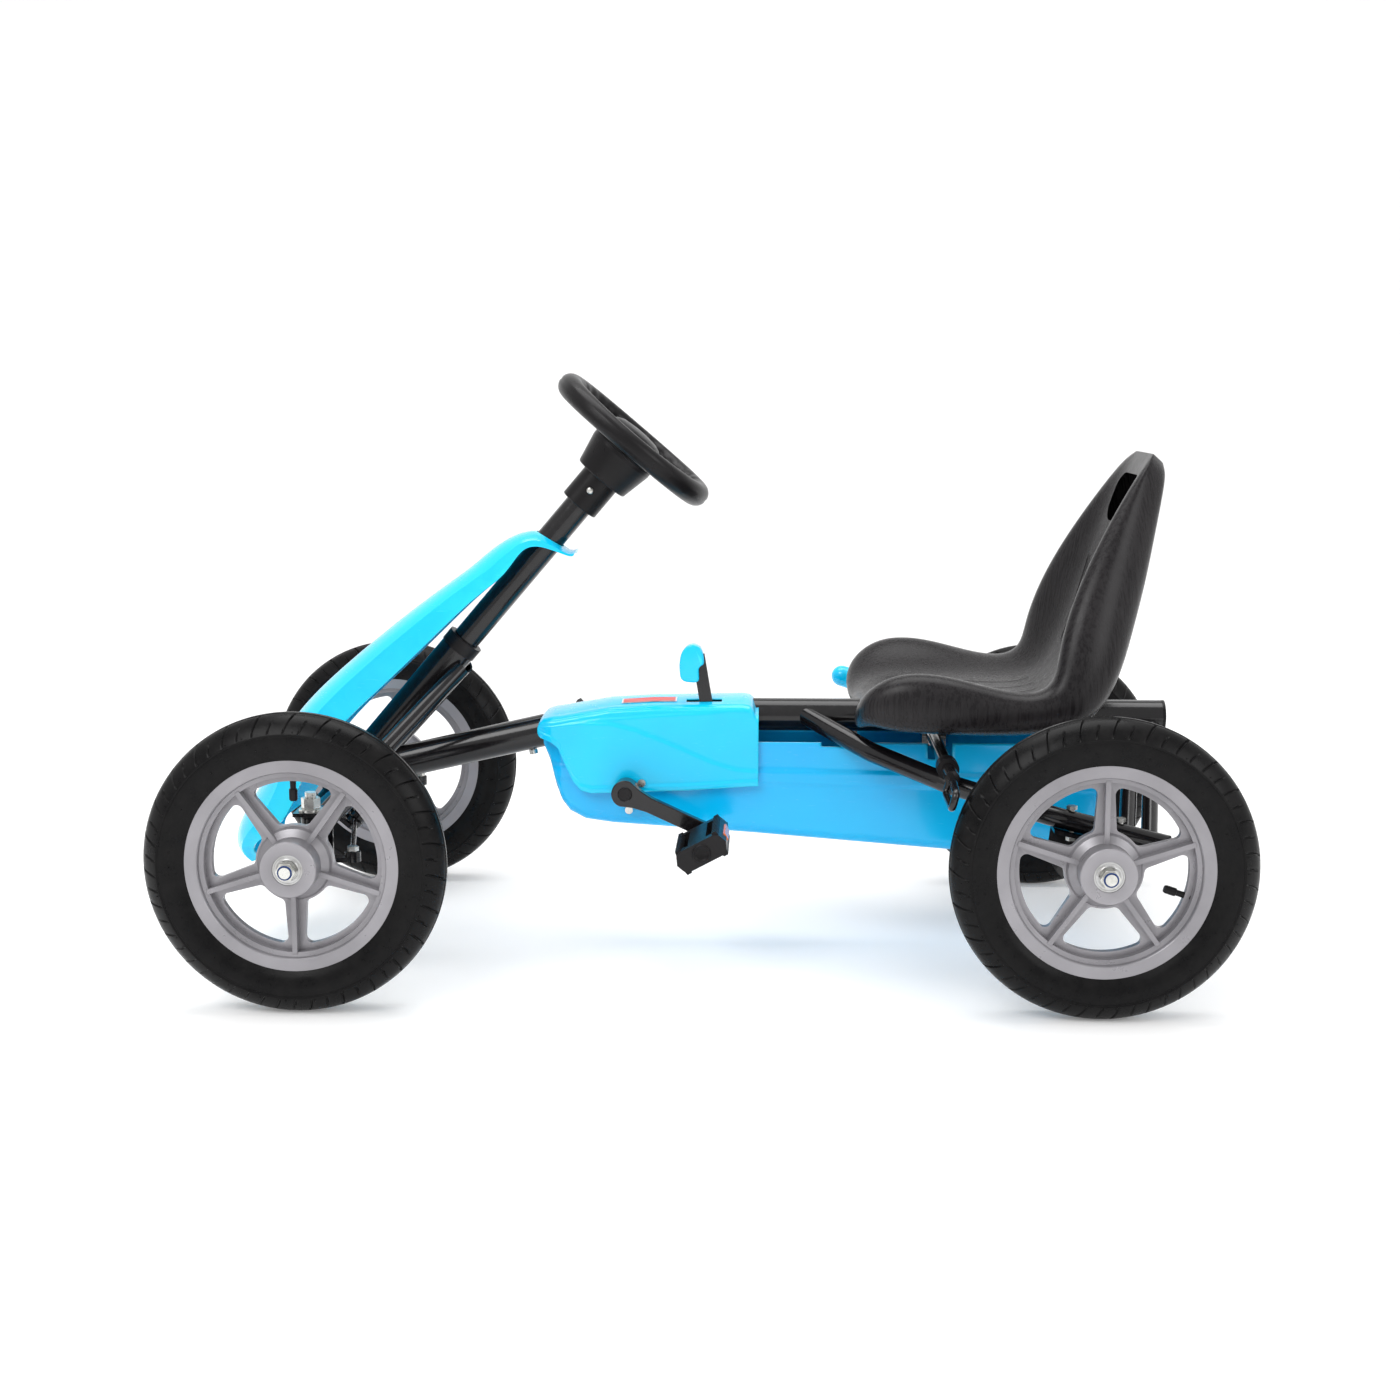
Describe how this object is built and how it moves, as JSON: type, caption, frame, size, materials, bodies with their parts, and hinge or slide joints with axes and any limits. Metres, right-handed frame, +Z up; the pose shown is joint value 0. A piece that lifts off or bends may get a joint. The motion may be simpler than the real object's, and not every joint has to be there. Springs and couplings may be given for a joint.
{
  "type": "pedal go-kart",
  "caption": "Child's pedal go-kart with blue nose fairing, bucket seat, steering linkage, chain drive, hand brake and pneumatic wheels",
  "frame": {"origin": "on the ground, midway between the axles, in the kart's middle plane (bottom centre of the bounding box)", "axes": "+X to the kart's rear, +Y to the driver's right, +Z up"},
  "size_m": [1.156, 0.672, 0.6639],
  "materials": {
    "black_steel": "gloss black powder coat",
    "blue_plastic": "gloss cyan blue",
    "dark_plastic": "satin black moulding",
    "grey_plastic": "silver-grey satin moulding",
    "tyre_rubber": "black pneumatic tyre rubber",
    "zinc_steel": "bright zinc plate",
    "bearing_steel": "ground steel",
    "chain_steel": "oiled steel"
  },
  "bodies": {
    "frame": {"axle_bracket_left": "black_steel", "axle_bracket_right": "black_steel", "axle_bushes": "dark_plastic", "backbone_tube": "black_steel", "brake_bushes": "dark_plastic", "chain_case_left": "blue_plastic", "chain_case_right": "blue_plastic", "column_bushes": "dark_plastic", "column_stays": "black_steel", "cover_screws": "zinc_steel", "crank_bushes": "dark_plastic", "crank_housing": "black_steel", "drive_chain": "chain_steel", "frame_bolts": "zinc_steel", "front_axle_tubes": "black_steel", "front_fairing": "blue_plastic", "kingpin_bolts": "zinc_steel", "kingpin_bushes": "dark_plastic", "kingpin_yokes": "black_steel", "rear_struts": "black_steel", "seat_bracket": "black_steel", "seat_shell": "dark_plastic", "side_rail_left": "black_steel", "side_rail_right": "black_steel", "steering_housing": "black_steel", "top_cover": "blue_plastic", "tube_plugs": "dark_plastic"},
    "column": {"steering_column": "black_steel", "wheel_sleeve": "dark_plastic", "steering_wheel": "dark_plastic"},
    "knuckle_left": {"spindle_left": "black_steel"},
    "knuckle_right": {"spindle_right": "black_steel"},
    "link_left": {"tie_rod_left": "black_steel"},
    "link_right": {"tie_rod_right": "black_steel"},
    "front_wheel_left": {"rim_front_left": "grey_plastic", "tyre_front_left": "tyre_rubber", "bearings_front_left": "bearing_steel"},
    "front_wheel_right": {"rim_front_right": "grey_plastic", "tyre_front_right": "tyre_rubber", "bearings_front_right": "bearing_steel"},
    "rear_wheel_left": {"rim_rear_left": "grey_plastic", "tyre_rear_left": "tyre_rubber", "bearings_rear_left": "bearing_steel"},
    "axle": {"rear_axle": "zinc_steel", "rear_sprocket": "chain_steel", "rear_axle_nuts": "zinc_steel", "rim_rear_right": "grey_plastic", "tyre_rear_right": "tyre_rubber"},
    "crank": {"crank_axle": "zinc_steel", "chainring": "chain_steel", "crank_arm_left": "black_steel", "crank_arm_right": "black_steel", "pedal_spindles": "zinc_steel"},
    "foot_left": {"pedal_left": "dark_plastic"},
    "foot_right": {"pedal_right": "dark_plastic"},
    "brake": {"brake_shaft": "black_steel", "brake_lever": "black_steel", "brake_grip": "blue_plastic"},
    "shift": {"shift_lever": "black_steel", "shift_grip": "blue_plastic"}
  },
  "joints": [
    {"name": "steer", "type": "hinge", "parent": "frame", "child": "column", "pos_m": [-0.419, 0, 0.1948], "axis": [0.6494, 0, 0.7604], "range_deg": [-30, 30]},
    {"name": "knuckle_left_turn", "type": "hinge", "parent": "frame", "child": "knuckle_left", "pos_m": [-0.419, -0.21, 0.159], "axis": [0, 0, 1], "range_deg": [-24.5, 24.5]},
    {"name": "knuckle_right_turn", "type": "hinge", "parent": "frame", "child": "knuckle_right", "pos_m": [-0.419, 0.21, 0.159], "axis": [0, 0, 1], "range_deg": [-24.5, 24.5]},
    {"name": "link_left_turn", "type": "hinge", "parent": "knuckle_left", "child": "link_left", "pos_m": [-0.3747, -0.21, 0.15], "axis": [0, 0, 1], "range_deg": [-24.5, 24.5]},
    {"name": "link_right_turn", "type": "hinge", "parent": "knuckle_right", "child": "link_right", "pos_m": [-0.3747, 0.21, 0.15], "axis": [0, 0, 1], "range_deg": [-24.5, 24.5]},
    {"name": "front_wheel_left_roll", "type": "hinge", "parent": "knuckle_left", "child": "front_wheel_left", "pos_m": [-0.419, -0.2865, 0.159], "axis": [0, 1, 0], "continuous": true},
    {"name": "front_wheel_right_roll", "type": "hinge", "parent": "knuckle_right", "child": "front_wheel_right", "pos_m": [-0.419, 0.2865, 0.159], "axis": [0, 1, 0], "continuous": true},
    {"name": "axle_roll", "type": "hinge", "parent": "frame", "child": "axle", "pos_m": [0.419, 0, 0.159], "axis": [0, 1, 0], "continuous": true},
    {"name": "rear_wheel_left_roll", "type": "hinge", "parent": "axle", "child": "rear_wheel_left", "pos_m": [0.419, -0.2865, 0.159], "axis": [0, 1, 0], "continuous": true},
    {"name": "crank_turn", "type": "hinge", "parent": "frame", "child": "crank", "pos_m": [-0.089, 0, 0.192], "axis": [0, 1, 0], "continuous": true},
    {"name": "foot_left_turn", "type": "hinge", "parent": "crank", "child": "foot_left", "pos_m": [0.00178, -0.15, 0.15005], "axis": [0, 1, 0], "continuous": true},
    {"name": "foot_right_turn", "type": "hinge", "parent": "crank", "child": "foot_right", "pos_m": [-0.17978, 0.15, 0.23395], "axis": [0, 1, 0], "continuous": true},
    {"name": "brake_pull", "type": "hinge", "parent": "frame", "child": "brake", "pos_m": [0.268, 0, 0.24], "axis": [0, 1, 0], "range_deg": [-18, 0]},
    {"name": "shift_move", "type": "hinge", "parent": "frame", "child": "shift", "pos_m": [0.006, -0.0285, 0.262], "axis": [0, 1, 0], "range_deg": [-12, 12]}
  ],
  "couplings": [
    {"joint": "knuckle_left_turn", "follows": "steer", "ratio": 0.8126},
    {"joint": "knuckle_right_turn", "follows": "steer", "ratio": 0.8126},
    {"joint": "link_left_turn", "follows": "steer", "ratio": -0.8126},
    {"joint": "link_right_turn", "follows": "steer", "ratio": -0.8126},
    {"joint": "crank_turn", "follows": "axle_roll", "ratio": 0.76471}
  ]
}
